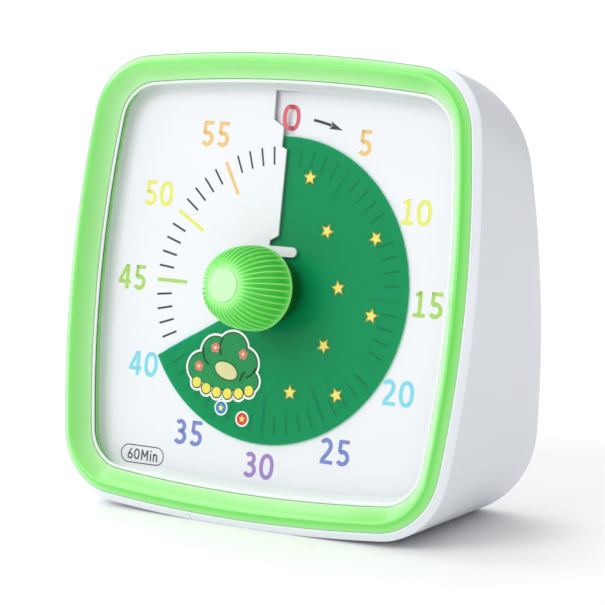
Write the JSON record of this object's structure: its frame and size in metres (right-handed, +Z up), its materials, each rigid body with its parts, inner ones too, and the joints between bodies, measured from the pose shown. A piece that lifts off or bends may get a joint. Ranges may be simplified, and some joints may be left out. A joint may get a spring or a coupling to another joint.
{
  "type": "visual countdown timer",
  "caption": "Desk countdown timer with a leaning square housing, a coloured bezel, a slit dial with a film disc, a ribbed setting knob and a geared battery movement.",
  "frame": {"origin": "on the surface that the timer stands on, directly below the centre of the dial", "axes": "+Z up, the face looks towards -Y and leans back by 10 degrees, +X to the viewer's right"},
  "size_m": [0.14, 0.0694, 0.1359],
  "materials": {
    "housing_white": "fine satin moulded plastic",
    "bezel_green": "semi-gloss pastel green",
    "clear": "clear polished plastic",
    "tray_white": "plain moulded plastic",
    "dial_white": "smooth printed card with coloured numerals",
    "film_green": "smooth dark green film",
    "hub_green": "smooth dark green",
    "knob_green": "ribbed saturated green",
    "cap_green": "smooth pale green",
    "steel": "turned steel",
    "brass": "turned brass",
    "gear_plastic": "natural gear plastic",
    "magnet": "dark sintered magnet",
    "lamination": "stamped soft iron",
    "copper_wire": "enamelled winding",
    "board_green": "solder mask",
    "black_plastic": "moulded black plastic",
    "grip_gray": "moulded grey plastic",
    "battery_skin": "plain sleeve",
    "spring_steel": "nickel plated spring steel",
    "pad_gray": "soft foam rubber",
    "wire_red": "insulated lead",
    "wire_black": "insulated lead"
  },
  "bodies": {
    "housing": {"main_shell": "housing_white", "back_cover": "housing_white", "bezel": "bezel_green", "lens": "clear", "dial_carrier": "tray_white", "dial_plate": "dial_white", "bearing_bush": "brass", "movement_front": "tray_white", "movement_rear": "tray_white", "movement_screws": "steel", "stator": "lamination", "coil": "copper_wire", "circuit_board": "board_green", "board_screws": "steel", "switch_body": "black_plastic", "buzzer": "black_plastic", "battery": "battery_skin", "contact_positive": "spring_steel", "contact_negative": "spring_steel", "housing_screws": "steel", "base_pads": "pad_gray", "wire_red": "wire_red", "wire_black": "wire_black", "motor_leads": "copper_wire"},
    "dial_drive": {"knob": "knob_green", "knob_cap": "cap_green", "knob_screw": "steel", "drive_shaft": "steel", "center_wheel": "gear_plastic", "clutch_spring": "brass"},
    "film": {"film_disc": "film_green", "film_hub": "hub_green"},
    "intermediate": {"intermediate_gear": "gear_plastic"},
    "motor_rotor": {"rotor": "magnet"},
    "door": {"battery_door": "housing_white"},
    "slider": {"volume_slider": "grip_gray"}
  },
  "joints": [
    {"name": "knob_turn", "type": "hinge", "parent": "housing", "child": "dial_drive", "pos_m": [0, 0, 0.066], "axis": [0, 0.9848, -0.1736], "range_deg": [-240, 120]},
    {"name": "film_climb", "type": "slide", "parent": "dial_drive", "child": "film", "axis": [0, -0.9848, 0.1736], "range_m": [-0.00125, 0.00065]},
    {"name": "intermediate_turn", "type": "hinge", "parent": "housing", "child": "intermediate", "pos_m": [0, -0.00261, 0.05123], "axis": [0, 0.9848, -0.1736], "range_deg": [-481, 961]},
    {"name": "rotor_turn", "type": "hinge", "parent": "housing", "child": "motor_rotor", "pos_m": [0.01082, -0.00369, 0.04507], "axis": [0, 0.9848, -0.1736], "range_deg": [-3841, 1921]},
    {"name": "door_hinge", "type": "hinge", "parent": "housing", "child": "door", "pos_m": [0, 0.0396, 0.02007], "axis": [-1, 0, 0], "range_deg": [0, 90]},
    {"name": "volume_slide", "type": "slide", "parent": "housing", "child": "slider", "axis": [1, 0, 0], "range_m": [-0.0035, 0.0035]}
  ],
  "couplings": [
    {"joint": "film_climb", "follows": "knob_turn", "m_per_rad": 0.00028648},
    {"joint": "intermediate_turn", "follows": "knob_turn", "ratio": -4},
    {"joint": "rotor_turn", "follows": "knob_turn", "ratio": 16}
  ]
}
